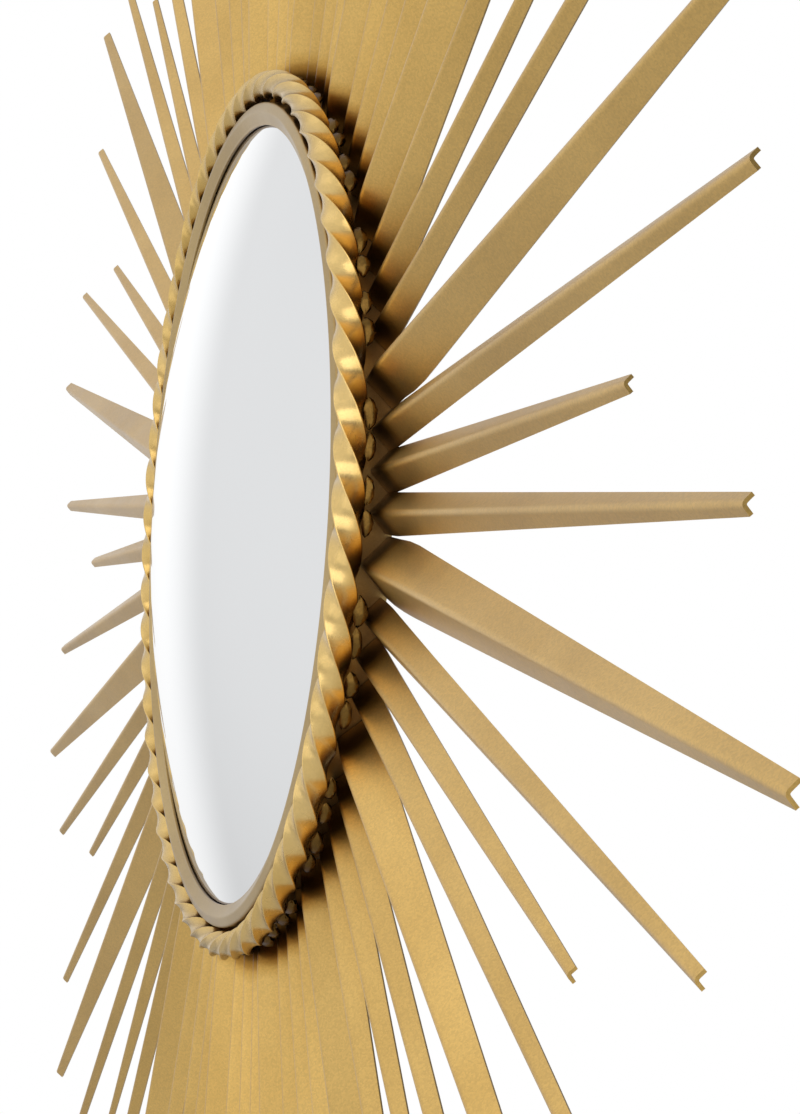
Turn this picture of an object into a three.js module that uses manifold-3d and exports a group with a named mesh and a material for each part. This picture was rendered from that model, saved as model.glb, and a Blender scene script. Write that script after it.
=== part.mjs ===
// Sunburst wall mirror: a round convex glass in a shallow pan, a twisted bar laid round the pan,
// and sixty-four folded rays welded to the pan's wall.
// Millimetres, +Z up. The front looks along -Y, the wall of the room is the plane Y = 0, and the
// origin is the middle of the back board, where the mirror bears on that wall.
import * as THREE from 'three';
import { mergeVertices } from 'three/addons/utils/BufferGeometryUtils.js';
import Module from 'manifold-3d';

const wasm = await Module();
wasm.setup();

// ---- driving dimensions ----
const FIT_GAP = 0.3;            // clearance between touching pieces
const SHEET = 1.2;              // thickness of the rays' and the pan's sheet metal

// The pan's front band rises from the wall to a crest and falls to the sight edge round the glass.
// Each of these is [radius, depth forward of the wall of the room].
const SIGHT_EDGE = [164.8, 20.7];
const CREST = [170.2, 23.7];
const PAN_SHOULDER = [173.6, 22.7];
const PAN_RADIUS = 174.4;       // outside of the pan's wall

const GLASS_EDGE_RADIUS = 168;  // the glass tucks under the band
const GLASS_EDGE_DEPTH = 18.5;  // the glass's front surface at its edge, forward of the wall
const GLASS_RISE = 28;          // how far the middle of the glass stands forward of its edge
const GLASS_THICKNESS = 3;

const BAR_SIDE = 9;             // square bar of the twisted ring
const RING_RADIUS = 181.8;      // middle line of the bar
const RING_DEPTH = 19.2;        // middle line of the bar, forward of the wall
const QUARTER_TURNS = 60;       // quarter turns of twist in the whole ring, a multiple of four
const STEPS_PER_QUARTER = 5;

const GROUPS = 16;              // a wide ray and a fan of three narrow rays, sixteen times round
const WIDE_HALF_ANGLE = 3.7;    // degrees of the circle to each side of a wide ray's middle line
const LONG_RAY_ANGLE = 6.25;    // degrees from a wide ray to the long narrow ray beside it
const RAYS_RISE = 3.2;          // the rays' centre sits this much above the middle of the pan
const GAUGE_RADIUS = 214.5;     // the radius where ray widths and foot depths are given
const FOLD_RISE = 0.47;         // height of the fold over the width of the ray
const FORWARD_LEAN = 0.018;     // rays lean forward by this slope
const RAY = {
  wide: { gaugeWidth: 25.6, tipWidth: 7.8, tipRadius: 553, footDepth: 0.75 },
  long: { gaugeWidth: 15.2, tipWidth: 6.1, tipRadius: 516, footDepth: 2.5 },
  short: { gaugeWidth: 15.2, tipWidth: 5.6, tipRadius: 428, footDepth: 2.5 },
};
const SEAT_RADIUS = 192;        // inside this the fold of a wide ray is pressed down for the ring
const SEAT_SLOPE = 0.09;        // by this slope, towards its root
const WELD_LAP = 0.9;           // how far the feet of neighbours in a fan run into each other
const SHOULDER_STEP = 0.5;      // sections of a ray nearer to each other than this are drawn as one

const BOARD_RADIUS = 172.6;     // back board, inside the pan's wall
const BOARD_THICKNESS = 5;
const HANGER_HEIGHT = 95;       // middle of the hanger plate above the middle of the board
const HANGER_SIZE = [64, 30];   // width and height of the hanger plate
const HANGER_THICKNESS = 1.5;
const KEYHOLE_HEAD_RADIUS = 6;  // round part of the keyhole, below
const KEYHOLE_SLOT_RADIUS = 2.8; // its narrow slot, above
const KEYHOLE_LENGTH = 11;      // from the middle of the head hole to the end of the slot

// ---- materials ----
const paintedBrass = { color: 0xc2a05a, roughness: 0.42, metalness: 0.75 };
const mirrorFinish = { color: 0xe6e9ec, roughness: 0.04, metalness: 1.0 };
const boardFinish = { color: 0x4a3b2c, roughness: 0.85, metalness: 0.0 };
const zincFinish = { color: 0x9fa3a6, roughness: 0.4, metalness: 0.9 };

const object = new THREE.Group();

function addPiece(name, geometry, finish) {
  const mesh = new THREE.Mesh(geometry, new THREE.MeshStandardMaterial(finish));
  mesh.name = name;
  object.add(mesh);
  return mesh;
}

const rad = THREE.MathUtils.degToRad;
const twoDigits = (n) => String(n).padStart(2, '0');

// ---- solids of revolution about the mirror's axis ----
// A profile is a closed list of [radius, depth forward of the wall].
function turned(profile, segments) {
  const points = profile.map(([radius, depth]) => new THREE.Vector2(radius, depth));
  points.push(points[0].clone());
  const geometry = new THREE.LatheGeometry(points, segments);
  // Lathe axis Y becomes the mirror's forward direction, -Y in the object's frame.
  geometry.rotateX(Math.PI);
  return geometry;
}

// ---- the convex glass ----
function glassProfile(steps) {
  const bendRadius = (GLASS_EDGE_RADIUS ** 2 + GLASS_RISE ** 2) / (2 * GLASS_RISE);
  const bendCentre = GLASS_EDGE_DEPTH + GLASS_RISE - bendRadius;
  const arc = (radius, fromAxis) => {
    const points = [];
    for (let i = 0; i <= steps; i += 1) {
      const share = fromAxis ? i / steps : 1 - i / steps;
      const r = GLASS_EDGE_RADIUS * share;
      points.push([r, bendCentre + Math.sqrt(radius ** 2 - r ** 2)]);
    }
    return points;
  };
  return [...arc(bendRadius - GLASS_THICKNESS, true), ...arc(bendRadius, false)];
}

addPiece('mirror_glass', turned(glassProfile(7), 72), mirrorFinish);

// ---- the pan: front band with its raised sight edge, and the wall ----
const sightUnderside = [SIGHT_EDGE[0] + SHEET / 4, SIGHT_EDGE[1] - SHEET * 0.6];
const crestUnderside = [CREST[0], CREST[1] - SHEET];
const shoulderUnderside = [PAN_RADIUS - SHEET, PAN_SHOULDER[1] - SHEET * 1.5];
const panProfile = [
  sightUnderside,
  crestUnderside,
  shoulderUnderside,
  [PAN_RADIUS - SHEET, 0],
  [PAN_RADIUS, 0],
  [PAN_RADIUS, PAN_SHOULDER[1] - SHEET],
  PAN_SHOULDER,
  CREST,
  SIGHT_EDGE,
];
addPiece('bezel_pan', turned(panProfile, 96), paintedBrass);

// ---- a skin over a row of rings of points, closed on itself or capped ----
function loft(rings, closed) {
  const positions = [];
  const indices = [];
  const count = rings[0].length;
  rings.forEach((ring) => ring.forEach((p) => positions.push(p.x, p.y, p.z)));
  const spans = closed ? rings.length : rings.length - 1;
  for (let s = 0; s < spans; s += 1) {
    const here = s * count;
    const next = ((s + 1) % rings.length) * count;
    for (let i = 0; i < count; i += 1) {
      const j = (i + 1) % count;
      indices.push(here + i, here + j, next + j);
      indices.push(here + i, next + j, next + i);
    }
  }
  const geometry = new THREE.BufferGeometry();
  geometry.setAttribute('position', new THREE.Float32BufferAttribute(positions, 3));
  return { geometry, indices, count };
}

// ---- the twisted ring ----
function twistedRing() {
  const stations = QUARTER_TURNS * STEPS_PER_QUARTER;
  const corner = BAR_SIDE / Math.SQRT2;
  const rings = [];
  for (let s = 0; s < stations; s += 1) {
    const around = (s / stations) * 2 * Math.PI;
    const twist = (s / STEPS_PER_QUARTER + 0.5) * (Math.PI / 2);
    const ring = [];
    for (let c = 0; c < 4; c += 1) {
      const a = twist - c * (Math.PI / 2);
      const radius = RING_RADIUS + corner * Math.cos(a);
      const depth = RING_DEPTH + corner * Math.sin(a);
      ring.push(new THREE.Vector3(radius * Math.cos(around), -depth, radius * Math.sin(around)));
    }
    rings.push(ring);
  }
  // After the last quarter turn the corners have moved on by one place for each quarter turn,
  // and QUARTER_TURNS is a multiple of four, so the section closes on itself.
  const { geometry, indices } = loft(rings, true);
  geometry.setIndex(indices);
  return geometry;
}
addPiece('twisted_ring', twistedRing(), paintedBrass);

// ---- the rays ----
// A ray is folded sheet: fold forward, two flanges running back to their feet. It is drawn along +X
// and turned into its place. `reach` gives the half width that it may take at a radius near the root.
function rayGeometry(kind, rootRadius, reachLeft, reachRight) {
  const { gaugeWidth, tipWidth, tipRadius, footDepth } = RAY[kind];
  const taper = (gaugeWidth - tipWidth) / (tipRadius - GAUGE_RADIUS);
  const fullHalf = (r) => (gaugeWidth - taper * (r - GAUGE_RADIUS)) / 2;
  // Where the tapering edge comes clear of the neighbour.
  const shoulder = (reach) => (gaugeWidth + taper * GAUGE_RADIUS) / (2 * reach + taper);
  const shoulders = [shoulder(reachLeft), shoulder(reachRight)].sort((a, b) => a - b);
  const seats = kind === 'wide' ? [SEAT_RADIUS] : [];
  const seatDrop = (r) => (kind === 'wide' ? SEAT_SLOPE * Math.max(0, SEAT_RADIUS - r) : 0);
  const radii = [rootRadius, ...seats, ...shoulders, tipRadius]
    .filter((r, i, all) => i === 0 || r - all[i - 1] > SHOULDER_STEP);
  const slope = FOLD_RISE * 2;
  const flangeSpread = SHEET * Math.sqrt(1 + slope ** 2) / slope;
  const foldRise = SHEET * Math.sqrt(1 + slope ** 2);
  const rings = radii.map((r) => {
    const foot = footDepth + FORWARD_LEAN * (r - GAUGE_RADIUS);
    const fold = foot + slope * fullHalf(r) - seatDrop(r);
    const left = Math.min(fullHalf(r), reachLeft * r);
    const right = Math.min(fullHalf(r), reachRight * r);
    const leftFoot = fold - slope * left;
    const rightFoot = fold - slope * right;
    return [
      new THREE.Vector3(r, -leftFoot, left),
      new THREE.Vector3(r, -fold, 0),
      new THREE.Vector3(r, -rightFoot, -right),
      new THREE.Vector3(r, -rightFoot, -right + flangeSpread),
      new THREE.Vector3(r, -(fold - foldRise), 0),
      new THREE.Vector3(r, -leftFoot, left - flangeSpread),
    ];
  });
  const { geometry, indices, count } = loft(rings, false);
  const last = (rings.length - 1) * count;
  // Each end is two four-sided flange ends.
  indices.push(0, 4, 1, 0, 5, 4, 1, 3, 2, 1, 4, 3);
  indices.push(last, last + 1, last + 4, last, last + 4, last + 5);
  indices.push(last + 1, last + 2, last + 3, last + 1, last + 3, last + 4);
  geometry.setIndex(indices);
  return geometry;
}

function turnedBy(geometry, degrees) {
  return geometry.rotateY(-rad(degrees));
}

function toSolid(geometry) {
  const merged = mergeVertices(geometry, 1e-4);
  return new wasm.Manifold(new wasm.Mesh({
    numProp: 3,
    vertProperties: new Float32Array(merged.attributes.position.array),
    triVerts: new Uint32Array(merged.index.array),
  }));
}

function toGeometry(solid) {
  const mesh = solid.getMesh();
  const geometry = new THREE.BufferGeometry();
  geometry.setAttribute('position', new THREE.Float32BufferAttribute(mesh.vertProperties, 3));
  geometry.setIndex(new THREE.Uint32BufferAttribute(mesh.triVerts, 1));
  return geometry;
}

const groupAngle = 360 / GROUPS;
// A ray's square-cut root stands on the pan's wall, whose middle is lower than the rays' centre.
const rootRadius = (degrees) => PAN_RADIUS + FIT_GAP - RAYS_RISE * Math.sin(rad(degrees));
const smallestRoot = rootRadius(90);
// Half widths per unit of radius: the edge of each ray's share of the circle, less or plus a little
// at the root so that neighbours clear each other, or run into each other within a fan.
const clearReach = (degrees) => Math.tan(rad(degrees)) - FIT_GAP / smallestRoot;
const lappedReach = (degrees) => Math.tan(rad(degrees)) + WELD_LAP / smallestRoot;
const wideReach = clearReach(WIDE_HALF_ANGLE);
const longReach = clearReach(LONG_RAY_ANGLE - WIDE_HALF_ANGLE);
const weldedReach = lappedReach((groupAngle / 2 - LONG_RAY_ANGLE) / 2);

function wideRay(start) {
  return rayGeometry('wide', rootRadius(start), wideReach, wideReach);
}

// Long, short, long: each drawn, turned to its angle from the group's wide ray, and welded.
function rayFan(start) {
  const drawn = (kind, degrees, reachLeft, reachRight) => toSolid(turnedBy(
    rayGeometry(kind, rootRadius(start + degrees), reachLeft, reachRight),
    degrees,
  ));
  return toGeometry(drawn('long', LONG_RAY_ANGLE, weldedReach, longReach)
    .add(drawn('short', groupAngle / 2, weldedReach, weldedReach))
    .add(drawn('long', groupAngle - LONG_RAY_ANGLE, longReach, weldedReach)));
}

// Numbered from the wide ray that points along +X, counter-clockwise as seen from the front.
function addRound(name, draw) {
  for (let g = 0; g < GROUPS; g += 1) {
    const start = g * groupAngle;
    const mesh = addPiece(`${name}_${twoDigits(g + 1)}`, draw(start), paintedBrass);
    mesh.rotation.y = -rad(start);
    mesh.position.z = RAYS_RISE;
  }
}

addRound('wide_ray', wideRay);
addRound('ray_fan', rayFan);

// ---- the back board, with a window for the hanger plate ----
function plate(shape, thickness, frontDepth) {
  const geometry = new THREE.ExtrudeGeometry(shape, {
    depth: thickness, bevelEnabled: false, curveSegments: 24,
  });
  // The shape's plane becomes XZ, and its thickness runs back from frontDepth.
  geometry.rotateX(Math.PI / 2);
  geometry.translate(0, thickness - frontDepth, 0);
  return geometry;
}

function rectanglePath(path, width, height, centreY) {
  path.moveTo(-width / 2, centreY - height / 2);
  path.lineTo(width / 2, centreY - height / 2);
  path.lineTo(width / 2, centreY + height / 2);
  path.lineTo(-width / 2, centreY + height / 2);
  path.closePath();
  return path;
}

const boardShape = new THREE.Shape();
boardShape.absarc(0, 0, BOARD_RADIUS, 0, 2 * Math.PI, false);
const [hangerWidth, hangerTall] = HANGER_SIZE;
boardShape.holes.push(rectanglePath(
  new THREE.Path(), hangerWidth + 2 * FIT_GAP, hangerTall + 2 * FIT_GAP, HANGER_HEIGHT,
));
addPiece('back_board', plate(boardShape, BOARD_THICKNESS, BOARD_THICKNESS), boardFinish);

const hangerShape = rectanglePath(new THREE.Shape(), hangerWidth, hangerTall, HANGER_HEIGHT);
const keyhole = new THREE.Path();
const headCentre = HANGER_HEIGHT - KEYHOLE_LENGTH / 2;
const slotCentre = HANGER_HEIGHT + KEYHOLE_LENGTH / 2;
const neckAngle = Math.acos(KEYHOLE_SLOT_RADIUS / KEYHOLE_HEAD_RADIUS);
keyhole.absarc(0, headCentre, KEYHOLE_HEAD_RADIUS, neckAngle, Math.PI - neckAngle, true);
keyhole.absarc(0, slotCentre, KEYHOLE_SLOT_RADIUS, Math.PI, 0, true);
keyhole.closePath();
hangerShape.holes.push(keyhole);
addPiece('hanger_plate', plate(hangerShape, HANGER_THICKNESS, HANGER_THICKNESS), zincFinish);

export default object;
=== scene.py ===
import math
import random

import bmesh
import bpy
from mathutils import Matrix, Vector


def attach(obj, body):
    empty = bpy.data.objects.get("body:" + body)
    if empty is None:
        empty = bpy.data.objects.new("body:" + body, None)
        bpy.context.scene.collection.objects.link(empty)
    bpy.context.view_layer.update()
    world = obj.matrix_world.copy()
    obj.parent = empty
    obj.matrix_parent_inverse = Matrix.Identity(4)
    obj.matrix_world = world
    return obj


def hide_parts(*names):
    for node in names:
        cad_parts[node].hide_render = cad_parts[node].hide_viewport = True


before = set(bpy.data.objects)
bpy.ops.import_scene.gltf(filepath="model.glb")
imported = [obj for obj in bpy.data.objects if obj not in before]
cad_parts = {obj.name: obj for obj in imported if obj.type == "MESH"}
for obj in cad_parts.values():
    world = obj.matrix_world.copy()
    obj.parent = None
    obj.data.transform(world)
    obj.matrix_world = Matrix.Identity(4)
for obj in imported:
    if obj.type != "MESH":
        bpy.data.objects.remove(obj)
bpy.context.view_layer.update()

# ---------------------------------------------------------------------------------------------
# The pan: one shallow spun-steel pan, its wall standing on the wall of the room and its rim
# rolled forward to a crest and then down to the glass. It is painted with an aged gilt that
# has fine metal flake in it, like all the rest of the metal.
# ---------------------------------------------------------------------------------------------
MM = 0.001  # sizes are in millimetres, and are turned to metres where a corner is placed
CORNER_SHARE = 0.45  # the most of a side that one rounded corner may take
FLAT_LEAD = 0.25  # how far past a rounded corner, over its cut, the flat is pinned


def rounded(outline, radii, steps):
    """The corners of an open outline, each rounded off; a point either side keeps the flats flat."""
    points = [Vector(outline[0])]
    for before, corner, after, radius in zip(outline, outline[1:], outline[2:], radii):
        corner = Vector(corner)
        to_before = Vector(before) - corner
        to_after = Vector(after) - corner
        opening = to_before.angle(to_after)
        cut = radius / math.tan(opening / 2)
        cut = min(cut, to_before.length * CORNER_SHARE, to_after.length * CORNER_SHARE)
        start = corner + to_before.normalized() * cut
        end = corner + to_after.normalized() * cut
        points.append(start + to_before.normalized() * cut * FLAT_LEAD)
        for step in range(steps + 1):
            share = step / steps
            near = start.lerp(corner, share)
            far = corner.lerp(end, share)
            points.append(near.lerp(far, share))
        points.append(end + to_after.normalized() * cut * FLAT_LEAD)
    points.append(Vector(outline[-1]))
    return points


def mesh_piece(name, corners, faces, material, smooth_below=50):
    """A closed piece of the mirror, facing out, smooth but for edges sharper than the angle."""
    shell = bmesh.new()
    verts = [shell.verts.new(corner) for corner in corners]
    for face in faces:
        shell.faces.new([verts[index] for index in face])
    bmesh.ops.recalc_face_normals(shell, faces=shell.faces)
    mesh = bpy.data.meshes.new(name)
    shell.to_mesh(mesh)
    shell.free()
    mesh.shade_smooth()
    mesh.set_sharp_from_angle(angle=math.radians(smooth_below))
    mesh.materials.append(material)
    piece = bpy.data.objects.new(name, mesh)
    bpy.context.scene.collection.objects.link(piece)
    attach(piece, "root")
    return piece


def tube_faces(rings, per_ring, closed, first=0):
    """Faces over a row of rings of corners, the last joined to the first where it is closed."""
    faces = []
    for ring in range(rings if closed else rings - 1):
        here = first + ring * per_ring
        there = first + (ring + 1) % rings * per_ring
        for side in range(per_ring):
            after = (side + 1) % per_ring
            faces.append((here + side, here + after, there + after, there + side))
    return faces


def spun(name, profile, turns, material):
    """A piece of revolution; the profile is a closed list of (radius, depth), in millimetres."""
    corners = []
    for turn in range(turns):
        angle = math.tau * turn / turns
        for radius, depth in profile:
            x = radius * math.cos(angle)
            z = radius * math.sin(angle)
            corners.append((x * MM, -depth * MM, z * MM))
    return mesh_piece(name, corners, tube_faces(turns, len(profile), True), material)


def new_finish(name, **values):
    """A new material and its tree, with some of its shader's own sockets set."""
    material = bpy.data.materials.new(name)
    material.use_nodes = True
    shader = material.node_tree.nodes["Principled BSDF"]
    for socket, value in values.items():
        shader.inputs[socket.replace("_", " ")].default_value = value
    return material, material.node_tree, shader


def add_node(tree, kind, **values):
    """A node with some of its sockets set; an underscore stands for the space in a socket's name."""
    node = tree.nodes.new("ShaderNode" + kind)
    for socket, value in values.items():
        node.inputs[socket.replace("_", " ")].default_value = value
    return node


def combined(tree, kind, operation, first, second):
    """A Math or VectorMath node that works on the outputs of two others."""
    node = tree.nodes.new("ShaderNode" + kind)
    node.operation = operation
    tree.links.new(first, node.inputs[0])
    tree.links.new(second, node.inputs[1])
    return node


def noise_over(tree, place, scale, detail):
    """Cloudy noise over the object, so many waves to the metre."""
    noise = add_node(tree, "TexNoise", Scale=scale, Detail=detail)
    tree.links.new(place.outputs["Object"], noise.inputs["Vector"])
    return noise


def colours_along(tree, factor, *stops):
    """Colours along a factor from 0 to 1, from stops of (position, colour)."""
    tones = tree.nodes.new("ShaderNodeValToRGB")
    bar = tones.color_ramp.elements
    bar[0].position = stops[0][0]
    bar[0].color = (*stops[0][1], 1)
    bar[1].position = stops[-1][0]
    bar[1].color = (*stops[-1][1], 1)
    for position, colour in stops[1:-1]:
        bar.new(position).color = (*colour, 1)
    tree.links.new(factor, tones.inputs["Fac"])
    return tones


def values_along(tree, factor, low, high):
    """A value that runs from low to high as the factor goes from 0 to 1."""
    span = add_node(tree, "MapRange", To_Min=low, To_Max=high)
    tree.links.new(factor, span.inputs["Value"])
    return span


def bumped(tree, shader, height, strength, distance):
    """Fine relief on a shader's normal."""
    relief = add_node(tree, "Bump", Strength=strength, Distance=distance)
    tree.links.new(height, relief.inputs["Height"])
    tree.links.new(relief.outputs["Normal"], shader.inputs["Normal"])


def flaked_gold(tree, place, light, dark, flake, seed):
    """Two golds in soft patches, with fine metal flake, each piece a shade of its own."""
    patches = noise_over(tree, place, 14, 4)
    patches.noise_dimensions = "4D"
    patches.inputs["W"].default_value = seed
    tones = colours_along(tree, patches.outputs["Fac"], (0.36, dark), (0.62, light))
    grain = add_node(tree, "TexVoronoi", Scale=1500)
    tree.links.new(place.outputs["Object"], grain.inputs["Vector"])
    grain_grey = add_node(tree, "SeparateColor")
    tree.links.new(grain.outputs["Color"], grain_grey.inputs["Color"])
    grain_tone = values_along(tree, grain_grey.outputs["Red"], 1 - flake, 1 + flake * 0.75)
    own_tone = values_along(tree, add_node(tree, "ObjectInfo").outputs["Random"], 0.88, 1.04)
    tone = combined(tree, "Math", "MULTIPLY", grain_tone.outputs["Result"], own_tone.outputs["Result"])
    speckled = add_node(tree, "VectorMath")
    speckled.operation = "SCALE"
    tree.links.new(tones.outputs["Color"], speckled.inputs[0])
    tree.links.new(tone.outputs["Value"], speckled.inputs["Scale"])
    return speckled


CREASE_RADIUS = 184
CREASE_DEPTH = 7
CREASE_WIDTH = 2


def clear_of_crease(tree, place, wash_reach):
    """0 in the crease where ring, rays and welds meet, 1 from the wash's reach away from it."""
    spot = add_node(tree, "SeparateXYZ")
    tree.links.new(place.outputs["Object"], spot.inputs["Vector"])
    flat = add_node(tree, "CombineXYZ")
    tree.links.new(spot.outputs["X"], flat.inputs["X"])
    tree.links.new(spot.outputs["Z"], flat.inputs["Y"])
    out = add_node(tree, "VectorMath")
    out.operation = "LENGTH"
    tree.links.new(flat.outputs["Vector"], out.inputs[0])
    section = add_node(tree, "CombineXYZ")
    tree.links.new(out.outputs["Value"], section.inputs["X"])
    tree.links.new(spot.outputs["Y"], section.inputs["Y"])
    away = add_node(tree, "VectorMath")
    away.operation = "DISTANCE"
    away.inputs[1].default_value = (CREASE_RADIUS * MM, -CREASE_DEPTH * MM, 0)
    tree.links.new(section.outputs["Vector"], away.inputs[0])
    clear = add_node(tree, "MapRange", From_Min=CREASE_WIDTH * MM, From_Max=wash_reach * MM)
    tree.links.new(away.outputs["Value"], clear.inputs["Value"])
    return clear


def brown_wash(tree, clear):
    """The tint of the brown wash, which lies thickest in the crease and in tight corners."""
    corner = add_node(tree, "AmbientOcclusion", Distance=12 * MM)
    corner.samples = 6
    settled = combined(tree, "Math", "MULTIPLY", clear.outputs["Result"], corner.outputs["AO"])
    stain = colours_along(
        tree,
        settled.outputs["Value"],
        (0, (0.15, 0.10, 0.04)),
        (0.28, (0.50, 0.39, 0.21)),
        (0.55, (0.84, 0.78, 0.64)),
        (1, (1, 1, 1)),
    )
    stain.color_ramp.interpolation = "EASE"
    return stain


def gilt(name, light, dark, gloss, flake, seed, wash_reach, lacquer):
    """Aged gilt paint: flaked gold under a brown wash, with a thin lacquer where it is clean."""
    material, tree, shader = new_finish(
        name,
        Metallic=0.96,
        Specular_Tint=(0.70, 0.75, 0.88, 1),
        Coat_Roughness=0.42,
        Coat_IOR=1.6,
    )
    place = add_node(tree, "TexCoord")
    gold = flaked_gold(tree, place, light, dark, flake, seed)
    clear = clear_of_crease(tree, place, wash_reach)
    stain = brown_wash(tree, clear)
    washed = combined(tree, "VectorMath", "MULTIPLY", gold.outputs["Vector"], stain.outputs["Color"])
    tree.links.new(washed.outputs["Vector"], shader.inputs["Base Color"])
    lacquered = values_along(tree, clear.outputs["Result"], 0, lacquer)
    tree.links.new(lacquered.outputs["Result"], shader.inputs["Coat Weight"])
    rubbed = noise_over(tree, place, 60, 3)
    sheen = values_along(tree, rubbed.outputs["Fac"], gloss - 0.05, gloss + 0.08)
    tree.links.new(sheen.outputs["Result"], shader.inputs["Roughness"])
    bumped(tree, shader, noise_over(tree, place, 900, 2).outputs["Fac"], 0.25, 0.12 * MM)
    return material


PAN_RADIUS = 174.4
PAN_SHOULDER_DEPTH = 22.3
PAN_CREST = (170.2, 23.6)
PAN_SIGHT_EDGE = (164.8, 20.7)
PAN_SHEET = 1.2
PAN_TURNS = 240
pan_gilt = gilt(
    "pan aged gilt",
    light=(0.62, 0.45, 0.20),
    dark=(0.52, 0.37, 0.16),
    gloss=0.36,
    flake=0.05,
    seed=1,
    wash_reach=10,
    lacquer=0.3,
)
sight_radius, sight_depth = PAN_SIGHT_EDGE
pan_front = rounded(
    [
        (PAN_RADIUS, 0),
        (PAN_RADIUS, PAN_SHOULDER_DEPTH),
        PAN_CREST,
        (sight_radius + 1.0, sight_depth + 0.6),
        (sight_radius, sight_depth + 0.4),
        (sight_radius + 0.2, sight_depth - 0.7),
    ],
    [1.2, 1.6, 0.8, 0.5],
    4,
)
pan_back = [
    (PAN_CREST[0], PAN_CREST[1] - PAN_SHEET),
    (PAN_RADIUS - PAN_SHEET, PAN_CREST[1] - 2.4 * PAN_SHEET),
    (PAN_RADIUS - PAN_SHEET, 0),
]
pan_profile = [tuple(point) for point in pan_front] + pan_back
pan = spun("spun_pan", pan_profile, PAN_TURNS, pan_gilt)
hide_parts("bezel_pan")

# ---------------------------------------------------------------------------------------------
# The wide rays: strips of sheet steel cut to a taper and folded lengthwise to a V, the fold
# forward and the feet back. They stand sixteen to the circle; their roots are cut to a wedge
# that fits between their neighbours, and the fold is pressed down where the ring lies on it.
# ---------------------------------------------------------------------------------------------
GROUPS = 16
GROUP_ANGLE = 360 / GROUPS
RAYS_RISE = 3.2
ROOT_CLEARANCE = 0.3
GAUGE_RADIUS = 214.5
FORWARD_LEAN = 0.018
FOLD_SLOPE = 0.94
RAY_SHEET = 1.2
FOLD_ROUNDING = 2.1
FOLD_STEPS = 5
SEAT_RADIUS = 192
SEAT_SLOPE = 0.09
RAY_STATIONS = 22
STATION_CROWDING = 1.6  # above 1, the stations crowd towards the root
ROLL_FREE = 60  # a ray has its full roll this far out from the ring
ray_gilt = gilt(
    "ray aged gilt",
    light=(0.78, 0.505, 0.145),
    dark=(0.69, 0.435, 0.115),
    gloss=0.36,
    flake=0.09,
    seed=2,
    wash_reach=14,
    lacquer=0.45,
)


def ray_corners(cut, angle, reach, lean_aside, bow, roll):
    """Corners of one folded ray; reach is the half width it may take, per radius, on each side."""
    gauge_width, tip_width, tip_radius, foot_depth, seat_slope = cut
    taper = (gauge_width - tip_width) / (tip_radius - GAUGE_RADIUS)
    turn = math.radians(angle)
    root_radius = PAN_RADIUS + ROOT_CLEARANCE - RAYS_RISE * math.sin(turn)
    corners = []
    per_ring = 0
    for station in range(RAY_STATIONS):
        share = station / (RAY_STATIONS - 1)
        r = root_radius + (tip_radius - root_radius) * share**STATION_CROWDING
        half = (gauge_width - taper * (r - GAUGE_RADIUS)) / 2
        foot = foot_depth + FORWARD_LEAN * (r - GAUGE_RADIUS) + bow * math.sin(math.pi * share)
        pressed = seat_slope * max(0, SEAT_RADIUS - r)
        fold = foot + FOLD_SLOPE * half - pressed
        left = min(half, reach[0] * r)
        right = min(half, reach[1] * r)
        outline = [(left, fold - FOLD_SLOPE * left), (0, fold), (-right, fold - FOLD_SLOPE * right)]
        front = rounded(outline, [FOLD_ROUNDING], FOLD_STEPS)
        back = []
        for index, point in enumerate(front):
            before = front[max(index - 1, 0)]
            after = front[min(index + 1, len(front) - 1)]
            along = (after - before).normalized()
            back.append(point + Vector((along.y, -along.x)) * -RAY_SHEET)
        section = front + back[::-1]
        per_ring = len(section)
        past_seat = max(0, r - SEAT_RADIUS)
        aside = math.tan(math.radians(lean_aside)) * past_seat
        tilt = math.tan(math.radians(roll)) * min(1, past_seat / ROLL_FREE)
        for across, depth in section:
            depth = max(0, depth + across * tilt)
            x = r * math.cos(turn) - (across + aside) * math.sin(turn)
            z = r * math.sin(turn) + (across + aside) * math.cos(turn)
            corners.append((x * MM, -depth * MM, (z + RAYS_RISE) * MM))
    return corners, per_ring


def ray_piece(name, rays, material):
    """One mesh of one or more folded rays, closed at root and tip."""
    corners = []
    faces = []
    for ray in rays:
        first = len(corners)
        ray_points, per_ring = ray_corners(*ray)
        corners += ray_points
        faces += tube_faces(RAY_STATIONS, per_ring, False, first)
        half = per_ring // 2
        last = first + (RAY_STATIONS - 1) * per_ring
        for start in (first, last):
            for side in range(half - 1):
                mate = per_ring - 1 - side
                faces.append((start + side, start + side + 1, start + mate - 1, start + mate))
    return mesh_piece(name, corners, faces, material, 40)


# A cut is the width at the gauge radius, the width at the tip, the tip's radius, how far the feet
# stand off the wall of the room, and the slope by which the fold is pressed down for the ring.
WIDE_CUT = (25.6, 7.8, 553, 0.75, SEAT_SLOPE)
WIDE_REACH = 0.0629
# Degrees that a ray leans aside. Those of a few rays are given, the rest stray a little at random,
# and all bow a little, in millimetres, and roll a little about their fold, in degrees.
WIDE_ASIDE = {6: -2.4, 7: -1.8, 9: -2.4}
STRAY_ASIDE = (-0.2, 0.2)
STRAY_BOW = (-0.2, 0.3)
WIDE_ROLL = (-1.5, 1.5)
hand = random.Random(16)
for group in range(GROUPS):
    aside = WIDE_ASIDE.get(group, hand.uniform(*STRAY_ASIDE))
    bow = hand.uniform(*STRAY_BOW)
    roll = hand.uniform(*WIDE_ROLL)
    wide = ray_piece(
        f"wide_sheet_{group + 1:02d}",
        [(WIDE_CUT, group * GROUP_ANGLE, (WIDE_REACH, WIDE_REACH), aside, bow, roll)],
        ray_gilt,
    )
    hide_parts(f"wide_ray_{group + 1:02d}")

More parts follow.
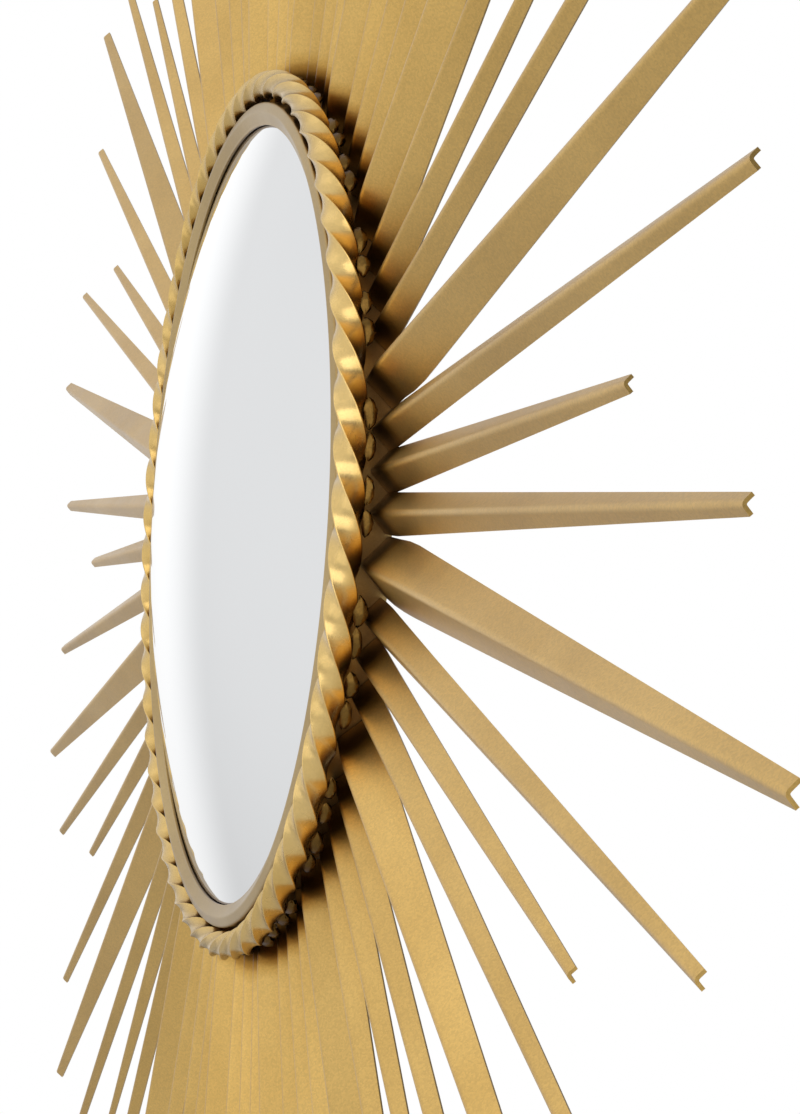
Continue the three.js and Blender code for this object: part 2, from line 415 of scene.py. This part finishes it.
# ---------------------------------------------------------------------------------------------
# The fans: between each two wide rays three narrow ones, long, short, long, cut and folded the
# same way and welded to one another at their roots.
# ---------------------------------------------------------------------------------------------
LONG_CUT = (15.2, 6.1, 516, 2.5, 0)
SHORT_CUT = (15.2, 5.6, 428, 2.5, 0)
LONG_ANGLE = 6.25
CLEAR_REACH = 0.0428
WELDED_REACH = 0.0480
FAN_ASIDE = {
    0: (0.9, 0.4, 1.8),
    5: (0.1, 0.2, -1.5),
    6: (-2.3, -1.6, -2.5),
    7: (0.3, -0.8, 0.0),
    9: (-2.0, -1.0, -0.5),
    13: (0.2, 0.1, 0.8),
    15: (0.9, 0.1, 0.0),
}
FAN_ROLL = (-2.5, 2.5)
for group in range(GROUPS):
    start = group * GROUP_ANGLE
    angles = [start + LONG_ANGLE, start + GROUP_ANGLE / 2, start + GROUP_ANGLE - LONG_ANGLE]
    cuts = [LONG_CUT, SHORT_CUT, LONG_CUT]
    reaches = [(WELDED_REACH, CLEAR_REACH), (WELDED_REACH, WELDED_REACH), (CLEAR_REACH, WELDED_REACH)]
    even = [hand.uniform(*STRAY_ASIDE) for _ in range(3)]
    aside = FAN_ASIDE.get(group, even)
    bows = [hand.uniform(*STRAY_BOW) for _ in range(3)]
    rolls = [hand.uniform(*FAN_ROLL) for _ in range(3)]
    rays = list(zip(cuts, angles, reaches, aside, bows, rolls))
    fan = ray_piece(f"fan_sheets_{group + 1:02d}", rays, ray_gilt)
    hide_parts(f"ray_fan_{group + 1:02d}")

# ---------------------------------------------------------------------------------------------
# The ring: a square bar, twisted cold along its length and bent to a circle that lies on the
# wide rays round the pan. Its four arrises are a little rounded.
# ---------------------------------------------------------------------------------------------
BAR_SIDE = 9
ARRIS_ROUNDING = 0.5
ARRIS_STEPS = 3
RING_RADIUS = 181.8
RING_DEPTH = 19.2
QUARTER_TURNS = 60
STEPS_PER_QUARTER = 14
bar_gilt = gilt(
    "bar aged gilt",
    light=(0.93, 0.66, 0.26),
    dark=(0.82, 0.56, 0.19),
    gloss=0.25,
    flake=0.05,
    seed=3,
    wash_reach=14,
    lacquer=0.15,
)


def bar_section():
    """The square bar's section, drawn a quarter at a time, each with one rounded arris."""
    half = BAR_SIDE / 2
    points = []
    for quarter in range(4):
        turn = Matrix.Rotation(quarter * math.pi / 2, 2)
        outline = [Vector((half, 0)), Vector((half, half)), Vector((0, half))]
        side = rounded([tuple(turn @ p) for p in outline], [ARRIS_ROUNDING], ARRIS_STEPS)
        points += side[:-1]
    return points


bar_points = bar_section()
ring_corners = []
ring_steps = QUARTER_TURNS * STEPS_PER_QUARTER
for step in range(ring_steps):
    around = math.tau * step / ring_steps
    twist = (step / STEPS_PER_QUARTER + 0.5) * math.pi / 2
    # The section's own arris stands at 45 degrees, so it is turned back by that.
    turn = Matrix.Rotation(twist - math.pi / 4, 2)
    for point in bar_points:
        outward, forward = turn @ point
        radius = RING_RADIUS + outward
        x = radius * math.cos(around)
        z = radius * math.sin(around)
        ring_corners.append((x * MM, -(RING_DEPTH + forward) * MM, z * MM))
ring_faces = tube_faces(ring_steps, len(bar_points), True)
ring = mesh_piece("twisted_bar", ring_corners, ring_faces, bar_gilt)
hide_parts("twisted_ring")

# ---------------------------------------------------------------------------------------------
# The welds: a bead of filler in each valley between two rays, laid against the ring, left as
# it set and painted over.
# ---------------------------------------------------------------------------------------------
WIDE_HALF_ANGLE = 3.7
WELD_ROOT = (183.0, 12.8)
# A bead's full section, as steps out and forward from its root under the ring: the sloping face
# first, from the ring down to the valley, then the underside.
WELD_SECTION = [
    (1.4, 3.0),
    (2.4, 1.6),
    (3.0, 0.1),
    (3.9, -1.4),
    (4.2, -3.0),
    (3.8, -4.8),
    (1.0, -5.4),
    (-1.6, -4.6),
]
WELD_STATIONS = 11
WELD_HALF_LENGTH = (4.6, 6.2)
WELD_GIRTH = (0.5, 0.72)  # over the full section
WELD_LUMPS = (0.9, 1.1)
WELD_RIPPLE = (-0.25, 0.25)
# The weld gold is far darker than the rays': painted shade for the shadow under the ring's overhang,
# on top of the painted crease shade.
weld_shaded_gilt = gilt(
    "weld gilt darkened with painted shade",
    light=(0.44, 0.31, 0.12),
    dark=(0.20, 0.13, 0.04),
    gloss=0.24,
    flake=0.15,
    seed=4,
    wash_reach=14,
    lacquer=0.2,
)
valley_angles = []
for group in range(GROUPS):
    middle = (group + 0.5) * GROUP_ANGLE
    between = (GROUP_ANGLE / 2 - LONG_ANGLE) / 2
    beside_wide = GROUP_ANGLE / 2 - (LONG_ANGLE + WIDE_HALF_ANGLE) / 2
    valley_angles += [middle - between, middle + between, middle - beside_wide, middle + beside_wide]
weld_corners = []
weld_faces = []
for angle in valley_angles:
    turn = math.radians(angle)
    half_length = hand.uniform(*WELD_HALF_LENGTH)
    girth = hand.uniform(*WELD_GIRTH)
    root_radius = WELD_ROOT[0] - RAYS_RISE * math.sin(turn)
    first = len(weld_corners)
    for station in range(WELD_STATIONS):
        share = 2 * station / (WELD_STATIONS - 1) - 1
        # Full in the middle and blunt at both ends, where it never quite shrinks to a point.
        swell = girth * (1.02 - share * share) ** 0.6
        for out, forward in WELD_SECTION:
            lump = swell * hand.uniform(*WELD_LUMPS)
            along = half_length * share + hand.uniform(*WELD_RIPPLE)
            r = root_radius + out * lump
            depth = WELD_ROOT[1] + forward * lump
            x = r * math.cos(turn) - along * math.sin(turn)
            z = r * math.sin(turn) + along * math.cos(turn)
            weld_corners.append((x * MM, -depth * MM, (z + RAYS_RISE) * MM))
    weld_faces += tube_faces(WELD_STATIONS, len(WELD_SECTION), False, first)
    last = first + (WELD_STATIONS - 1) * len(WELD_SECTION)
    weld_faces.append(tuple(range(first, first + len(WELD_SECTION))))
    weld_faces.append(tuple(range(last, last + len(WELD_SECTION))))
mesh_piece("weld_beads", weld_corners, weld_faces, weld_shaded_gilt, 35)

# ---------------------------------------------------------------------------------------------
# The glass: a disc of sheet glass sagged to a shallow dome and silvered on its back, laid into
# the pan from behind. Its silvering is very slightly uneven.
# ---------------------------------------------------------------------------------------------
GLASS_EDGE_RADIUS = 168
GLASS_EDGE_DEPTH = 18.5
GLASS_RISE = 28
GLASS_THICKNESS = 3
GLASS_RINGS = 40
GLASS_TURNS = 200
silvered, silver_tree, silver_shader = new_finish("silvered glass", Metallic=1)
silver_cloud = noise_over(silver_tree, add_node(silver_tree, "TexCoord"), 9, 2).outputs["Fac"]
silver_tone = colours_along(
    silver_tree, silver_cloud, (0, (0.87, 0.885, 0.90)), (1, (0.90, 0.91, 0.92))
)
silver_tree.links.new(silver_tone.outputs["Color"], silver_shader.inputs["Base Color"])
silver_haze = values_along(silver_tree, silver_cloud, 0.015, 0.045)
silver_tree.links.new(silver_haze.outputs["Result"], silver_shader.inputs["Roughness"])

bend_radius = (GLASS_EDGE_RADIUS**2 + GLASS_RISE**2) / (2 * GLASS_RISE)
bend_centre = GLASS_EDGE_DEPTH + GLASS_RISE - bend_radius
glass_corners = []
for skin_radius in (bend_radius, bend_radius - GLASS_THICKNESS):
    for ring_number in range(1, GLASS_RINGS + 1):
        radius = GLASS_EDGE_RADIUS * ring_number / GLASS_RINGS
        depth = bend_centre + math.sqrt(skin_radius**2 - radius**2)
        for turn_number in range(GLASS_TURNS):
            angle = math.tau * turn_number / GLASS_TURNS
            x = radius * math.cos(angle)
            z = radius * math.sin(angle)
            glass_corners.append((x * MM, -depth * MM, z * MM))
front_middle = len(glass_corners)
back_middle = front_middle + 1
glass_corners.append((0, -(bend_centre + bend_radius) * MM, 0))
glass_corners.append((0, -(bend_centre + bend_radius - GLASS_THICKNESS) * MM, 0))
behind = GLASS_RINGS * GLASS_TURNS
rim = (GLASS_RINGS - 1) * GLASS_TURNS
back_rim = behind + rim
glass_faces = tube_faces(GLASS_RINGS, GLASS_TURNS, False)
glass_faces += tube_faces(GLASS_RINGS, GLASS_TURNS, False, behind)
for turn_number in range(GLASS_TURNS):
    after = (turn_number + 1) % GLASS_TURNS
    glass_faces.append((front_middle, turn_number, after))
    glass_faces.append((back_middle, behind + after, behind + turn_number))
    glass_faces.append((rim + turn_number, rim + after, back_rim + after, back_rim + turn_number))
glass = mesh_piece("domed_glass", glass_corners, glass_faces, silvered, 60)
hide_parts("mirror_glass")

# ---------------------------------------------------------------------------------------------
# The back board: a disc of fibreboard, cut with a window for the hanger and stained dark. It
# closes the pan from behind and keeps the glass in.
# ---------------------------------------------------------------------------------------------
board_stain, board_tree, board_shader = new_finish("dark stained fibreboard", Roughness=0.82)
board_fibre = noise_over(board_tree, add_node(board_tree, "TexCoord"), 420, 6)
board_fibre.inputs["Roughness"].default_value = 0.7
board_tone = colours_along(
    board_tree, board_fibre.outputs["Fac"], (0.3, (0.045, 0.028, 0.017)), (0.7, (0.12, 0.08, 0.05))
)
board_tree.links.new(board_tone.outputs["Color"], board_shader.inputs["Base Color"])
bumped(board_tree, board_shader, board_fibre.outputs["Fac"], 0.4, 0.2 * MM)
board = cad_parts["back_board"]
board.data.materials.clear()
board.data.materials.append(board_stain)

# ---------------------------------------------------------------------------------------------
# The hanger: a small steel plate with a keyhole punched in it, plated with zinc that shows its
# spangle. It is let in flush with the back of the board, and a screw in the wall holds it.
# ---------------------------------------------------------------------------------------------
zinc, zinc_tree, zinc_shader = new_finish("zinc plated steel", Metallic=1)
zinc_spangle = add_node(zinc_tree, "TexVoronoi", Scale=260)
zinc_place = add_node(zinc_tree, "TexCoord")
zinc_tree.links.new(zinc_place.outputs["Object"], zinc_spangle.inputs["Vector"])
zinc_grey = add_node(zinc_tree, "SeparateColor")
zinc_tree.links.new(zinc_spangle.outputs["Color"], zinc_grey.inputs["Color"])
zinc_tone = colours_along(
    zinc_tree, zinc_grey.outputs["Red"], (0, (0.42, 0.43, 0.44)), (1, (0.62, 0.63, 0.64))
)
zinc_tree.links.new(zinc_tone.outputs["Color"], zinc_shader.inputs["Base Color"])
zinc_dull = values_along(zinc_tree, zinc_grey.outputs["Green"], 0.3, 0.45)
zinc_tree.links.new(zinc_dull.outputs["Result"], zinc_shader.inputs["Roughness"])
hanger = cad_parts["hanger_plate"]
hanger.data.materials.clear()
hanger.data.materials.append(zinc)

# ---------------------------------------------------------------------------------------------
# The studio: a plain pale floor below the hanging mirror, soft light all round that is strongest
# from the upper left, soft boxes in front and at the right, and a white ground behind.
# ---------------------------------------------------------------------------------------------
FLOOR_HEIGHT = -1.25
FLOOR_SIDE = 14
floor_paint, _, _ = new_finish("pale floor paint", Base_Color=(0.84, 0.84, 0.83, 1), Roughness=0.7)
bpy.ops.mesh.primitive_plane_add(size=FLOOR_SIDE, location=(0, 0, FLOOR_HEIGHT))
floor = bpy.context.object
floor.name = "floor"
floor.data.materials.append(floor_paint)

scene = bpy.context.scene
scene.view_settings.view_transform = "Standard"
world = bpy.data.worlds.new("studio")
scene.world = world
world.use_nodes = True
sky_tree = world.node_tree
sky_place = add_node(sky_tree, "TexCoord")


def sky_glow(towards, low, high, least, most):
    """Brightness that rises smoothly as a direction turns towards the given one.

    It goes from least to most while the cosine of the angle between them goes from low to high.
    """
    facing = add_node(sky_tree, "VectorMath")
    facing.operation = "DOT_PRODUCT"
    facing.inputs[1].default_value = Vector(towards).normalized()
    sky_tree.links.new(sky_place.outputs["Generated"], facing.inputs[0])
    glow = add_node(sky_tree, "MapRange", From_Min=low, From_Max=high, To_Min=least, To_Max=most)
    glow.interpolation_type = "SMOOTHSTEP"
    sky_tree.links.new(facing.outputs["Value"], glow.inputs["Value"])
    return glow.outputs["Result"]


front_glow = sky_glow((-0.30, -0.75, 0.60), low=-0.50, high=0.85, least=0.14, most=0.83)
left_glow = sky_glow((-0.93, 0.07, 0.27), low=0.88, high=1.0, least=0.0, most=0.36)
sky_sum = combined(sky_tree, "Math", "ADD", front_glow, left_glow)
# The ground behind the mirror is white where it is seen, and only the glow lights the metal.
sky_seen = add_node(sky_tree, "LightPath")
sky_mix = sky_tree.nodes.new("ShaderNodeMix")
sky_mix.data_type = "RGBA"
sky_mix.inputs["B"].default_value = (1.0, 1.0, 1.0, 1)
sky_tree.links.new(sky_seen.outputs["Is Camera Ray"], sky_mix.inputs["Factor"])
sky_tree.links.new(sky_sum.outputs["Value"], sky_mix.inputs["A"])
sky_tree.links.new(sky_mix.outputs["Result"], sky_tree.nodes["Background"].inputs["Color"])


def soft_light(name, place, aim, width, height, power):
    """A rectangular soft box that faces its aim."""
    lamp = bpy.data.lights.new(name, "AREA")
    lamp.shape = "RECTANGLE"
    lamp.size = width
    lamp.size_y = height
    lamp.energy = power
    box = bpy.data.objects.new(name, lamp)
    box.location = place
    box.visible_camera = False
    box.rotation_euler = (Vector(aim) - Vector(place)).to_track_quat("-Z", "Y").to_euler()
    scene.collection.objects.link(box)


soft_light("low_panel", (-0.2, -2.2, -0.9), aim=(0, 0, 0), width=2.0, height=1.4, power=3.8)
soft_light("high_panel", (-0.3, -1.8, 1.7), aim=(0, 0, 0), width=1.8, height=1.2, power=1.2)
soft_light("right_panel", (1.95, -1.0, 0.0), aim=(0.1, 0, 0), width=1.5, height=3.4, power=18)

CAMERA_PLACE = (1.0642, -0.2679, -0.3137)
CAMERA_TURN = (105.063, 1.351, 73.586)  # degrees about X, then Y, then Z
CAMERA_LENS = 85.96
camera_data = bpy.data.cameras.new("camera")
camera_data.lens = CAMERA_LENS
camera_data.clip_start = 0.05
camera = bpy.data.objects.new("camera", camera_data)
camera.location = CAMERA_PLACE
camera.rotation_euler = [math.radians(turn) for turn in CAMERA_TURN]
scene.collection.objects.link(camera)
scene.camera = camera
